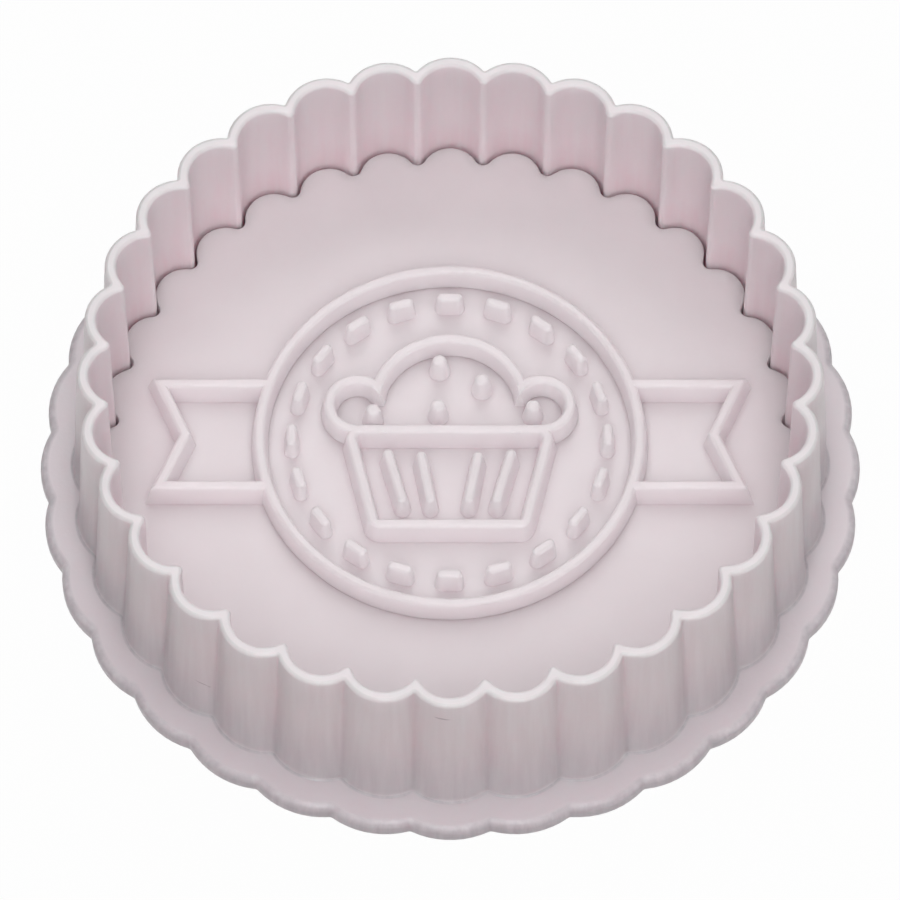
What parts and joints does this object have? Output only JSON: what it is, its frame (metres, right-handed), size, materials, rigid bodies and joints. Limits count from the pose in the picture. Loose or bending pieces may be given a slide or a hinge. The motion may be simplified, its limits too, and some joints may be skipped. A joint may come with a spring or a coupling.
{
  "type": "plunger pastry stamp",
  "caption": "Fluted plunger cutter with a scalloped flange: pressing the knob slides a sprung stamp plate with raised cupcake line art along the cutter.",
  "frame": {"origin": "middle of the knob's resting face, at the bottom centre of the box", "axes": "+Z along the cutter's axis from the knob to the cutting rim, +Y to the top of the cupcake picture, +X to its right"},
  "size_m": [0.0784, 0.0784, 0.0523],
  "materials": {
    "pale_plastic": "satin moulded, pale greyish pink",
    "zinc_screw": "bright zinc plate",
    "spring_steel": "drawn stainless wire"
  },
  "bodies": {
    "housing": {"cutter_ring": "pale_plastic", "guide_plate": "pale_plastic", "guide_plate_screws": "zinc_screw", "return_spring": "spring_steel"},
    "plunger": {"stamp_plate": "pale_plastic", "plunger_stem": "pale_plastic", "knob": "pale_plastic", "knob_cap": "pale_plastic", "screw_washer": "zinc_screw", "stem_screw": "zinc_screw"}
  },
  "joints": [
    {"name": "plunger_slide", "type": "slide", "parent": "housing", "child": "plunger", "axis": [0, 0, 1], "range_m": [0, 0.01205], "stiffness_N_per_m": 500, "springref_m": -0.01, "deforming": ["return_spring"]}
  ]
}
